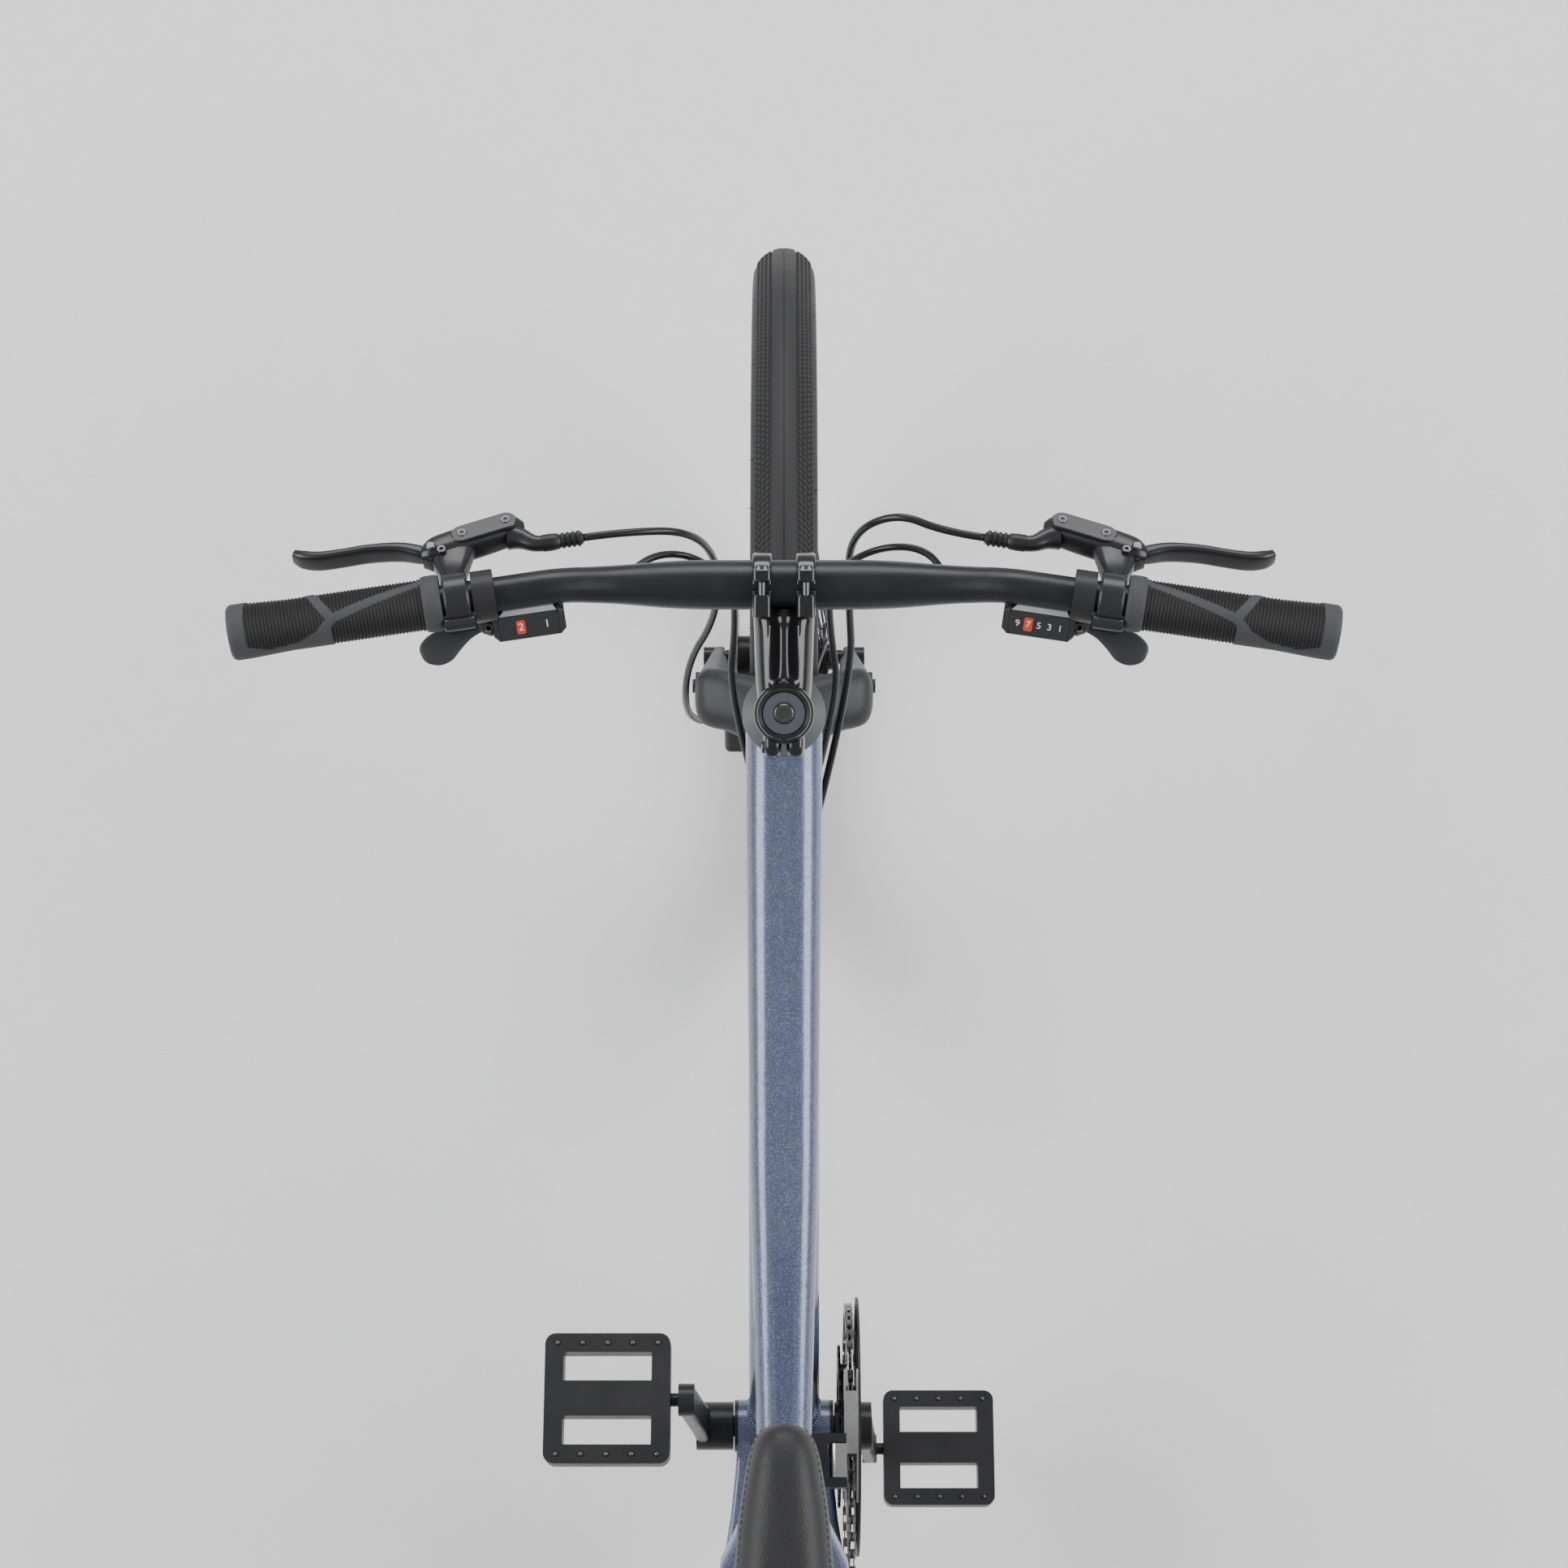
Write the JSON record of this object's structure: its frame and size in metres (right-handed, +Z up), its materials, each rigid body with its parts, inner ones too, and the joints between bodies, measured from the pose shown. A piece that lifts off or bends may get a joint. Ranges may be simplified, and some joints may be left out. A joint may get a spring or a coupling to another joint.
{
  "type": "hybrid bicycle",
  "caption": "Hybrid bicycle with a sloping alloy frame, rigid fork, flat bar, disc brakes and derailleur gears; steers, rolls, pedals, brakes and shifts.",
  "frame": {"origin": "on the ground below the bicycle's middle: midway between the axles, in its middle plane", "axes": "+X forward, +Y to the rider's left, +Z up"},
  "size_m": [1.756, 0.7048, 0.9917],
  "materials": {
    "frame_paint": "slate blue metallic paint, satin",
    "fork_paint": "dark grey paint, matte",
    "black_alloy": "black anodised, satin",
    "gloss_black_alloy": "black, gloss",
    "steel": "brushed",
    "chain_steel": "nickel plated",
    "tyre_rubber": "matte",
    "grip_rubber": "matte",
    "cable_plastic": "semi-gloss black",
    "black_plastic": "fine textured",
    "window": "clear",
    "saddle_cover": "matte synthetic cover"
  },
  "bodies": {
    "frame": {"head_tube": "frame_paint", "top_tube": "frame_paint", "down_tube": "frame_paint", "seat_tube": "frame_paint", "rear_dropouts": "frame_paint", "rear_stays": "frame_paint", "seat_collar": "black_alloy", "frame_bearings": "steel", "rear_brake_caliper": "black_alloy", "rear_axle": "steel", "front_derailleur_mount": "black_alloy", "rear_derailleur": "black_alloy", "chain": "chain_steel", "rear_brake_hose": "cable_plastic", "gear_cables": "cable_plastic", "rear_cable_tails": "cable_plastic", "bottle_bosses": "gloss_black_alloy"},
    "front_end": {"fork_crown": "fork_paint", "fork_legs": "fork_paint", "headset_stack": "fork_paint", "stem": "gloss_black_alloy", "stem_faceplate": "gloss_black_alloy", "top_cap": "fork_paint", "handlebar": "black_alloy", "grips": "grip_rubber", "brake_bodies": "black_alloy", "shifter_pods": "black_plastic", "shifter_windows": "window", "front_brake_caliper": "black_alloy", "front_brake_hose": "cable_plastic", "front_axle": "steel"},
    "front_wheel": {"front_tyre": "tyre_rubber", "front_rim": "black_alloy", "front_spokes": "steel", "front_hub": "black_alloy", "front_rotor": "steel"},
    "rear_wheel": {"rear_tyre": "tyre_rubber", "rear_rim": "black_alloy", "rear_spokes": "steel", "rear_hub": "black_alloy", "rear_rotor": "steel"},
    "cassette": {"cassette": "steel"},
    "crankset": {"right_crank": "black_alloy", "left_crank": "black_alloy", "chainrings": "steel"},
    "left_pedal": {"left_pedal": "black_plastic"},
    "right_pedal": {"right_pedal": "black_plastic"},
    "rear_cage": {"rear_derailleur_cage": "black_alloy"},
    "guide_pulley": {"guide_pulley": "black_plastic"},
    "tension_pulley": {"tension_pulley": "black_plastic"},
    "front_cage": {"front_derailleur_cage": "steel"},
    "seat": {"seatpost": "black_alloy", "saddle_shell": "black_plastic", "saddle_pad": "saddle_cover"},
    "left_brake_lever": {"left_brake_lever": "black_alloy"},
    "right_brake_lever": {"right_brake_lever": "black_alloy"},
    "left_shift_lever": {"left_shift_lever": "black_plastic"},
    "right_shift_lever": {"right_shift_lever": "black_plastic"},
    "left_release_lever": {"left_release_lever": "black_plastic"},
    "right_release_lever": {"right_release_lever": "black_plastic"}
  },
  "joints": [
    {"name": "steering", "type": "hinge", "parent": "frame", "child": "front_end", "pos_m": [0.35214, 0, 0.7174], "axis": [-0.3338, 0, 0.9426], "range_deg": [-62, 62], "deforming": ["rear_brake_hose", "gear_cables"]},
    {"name": "front_wheel_spin", "type": "hinge", "parent": "front_end", "child": "front_wheel", "pos_m": [0.536, 0, 0.342], "axis": [0, 1, 0], "continuous": true},
    {"name": "rear_wheel_spin", "type": "hinge", "parent": "frame", "child": "rear_wheel", "pos_m": [-0.536, 0, 0.342], "axis": [0, 1, 0], "continuous": true},
    {"name": "crank_spin", "type": "hinge", "parent": "frame", "child": "crankset", "pos_m": [-0.10011, 0, 0.282], "axis": [0, 1, 0], "continuous": true, "deforming": ["chain"]},
    {"name": "cassette_spin", "type": "hinge", "parent": "frame", "child": "cassette", "pos_m": [-0.536, 0, 0.342], "axis": [0, 1, 0], "continuous": true},
    {"name": "left_pedal_spin", "type": "hinge", "parent": "crankset", "child": "left_pedal", "pos_m": [-0.10011, 0.079, 0.4545], "axis": [0, 1, 0], "continuous": true},
    {"name": "right_pedal_spin", "type": "hinge", "parent": "crankset", "child": "right_pedal", "pos_m": [-0.10011, -0.079, 0.1095], "axis": [0, 1, 0], "continuous": true},
    {"name": "rear_cage_swing", "type": "hinge", "parent": "frame", "child": "rear_cage", "pos_m": [-0.528, -0.0515, 0.272], "axis": [0, 1, 0], "range_deg": [-25, 20], "stiffness_Nm_per_rad": 0.15, "deforming": ["chain"]},
    {"name": "guide_pulley_spin", "type": "hinge", "parent": "rear_cage", "child": "guide_pulley", "pos_m": [-0.528, -0.0515, 0.272], "axis": [0, 1, 0], "continuous": true},
    {"name": "tension_pulley_spin", "type": "hinge", "parent": "rear_cage", "child": "tension_pulley", "pos_m": [-0.50656, -0.0515, 0.22027], "axis": [0, 1, 0], "continuous": true},
    {"name": "front_cage_swing", "type": "hinge", "parent": "frame", "child": "front_cage", "pos_m": [-0.14186, -0.04, 0.42295], "axis": [1, 0, 0], "range_deg": [0, 8], "deforming": ["chain"]},
    {"name": "seat_height", "type": "slide", "parent": "frame", "child": "seat", "axis": [-0.284, 0, 0.9588], "range_m": [-0.11, 0.05]},
    {"name": "left_brake_pull", "type": "hinge", "parent": "front_end", "child": "left_brake_lever", "pos_m": [0.37328, 0.22517, 0.95824], "axis": [0.342, 0.0411, 0.9388], "range_deg": [0, 15], "stiffness_Nm_per_rad": 0.3},
    {"name": "right_brake_pull", "type": "hinge", "parent": "front_end", "child": "right_brake_lever", "pos_m": [0.37328, -0.22517, 0.95824], "axis": [-0.342, 0.0411, -0.9388], "range_deg": [0, 15], "stiffness_Nm_per_rad": 0.3},
    {"name": "left_shift_push", "type": "hinge", "parent": "front_end", "child": "left_shift_lever", "pos_m": [0.34847, 0.18187, 0.9252], "axis": [0.333, 0.0698, -0.9403], "range_deg": [0, 32], "stiffness_Nm_per_rad": 0.1},
    {"name": "right_shift_push", "type": "hinge", "parent": "front_end", "child": "right_shift_lever", "pos_m": [0.34847, -0.18187, 0.9252], "axis": [-0.333, 0.0698, 0.9403], "range_deg": [0, 32], "stiffness_Nm_per_rad": 0.1},
    {"name": "left_release_push", "type": "hinge", "parent": "front_end", "child": "left_release_lever", "pos_m": [0.34847, 0.18187, 0.9252], "axis": [0.333, 0.0698, -0.9403], "range_deg": [0, 12], "stiffness_Nm_per_rad": 0.1},
    {"name": "right_release_push", "type": "hinge", "parent": "front_end", "child": "right_release_lever", "pos_m": [0.34847, -0.18187, 0.9252], "axis": [-0.333, 0.0698, 0.9403], "range_deg": [0, 12], "stiffness_Nm_per_rad": 0.1}
  ],
  "couplings": [
    {"joint": "cassette_spin", "follows": "crank_spin", "ratio": 3.0667},
    {"joint": "guide_pulley_spin", "follows": "crank_spin", "ratio": -4.1818},
    {"joint": "tension_pulley_spin", "follows": "crank_spin", "ratio": 4.1818}
  ]
}
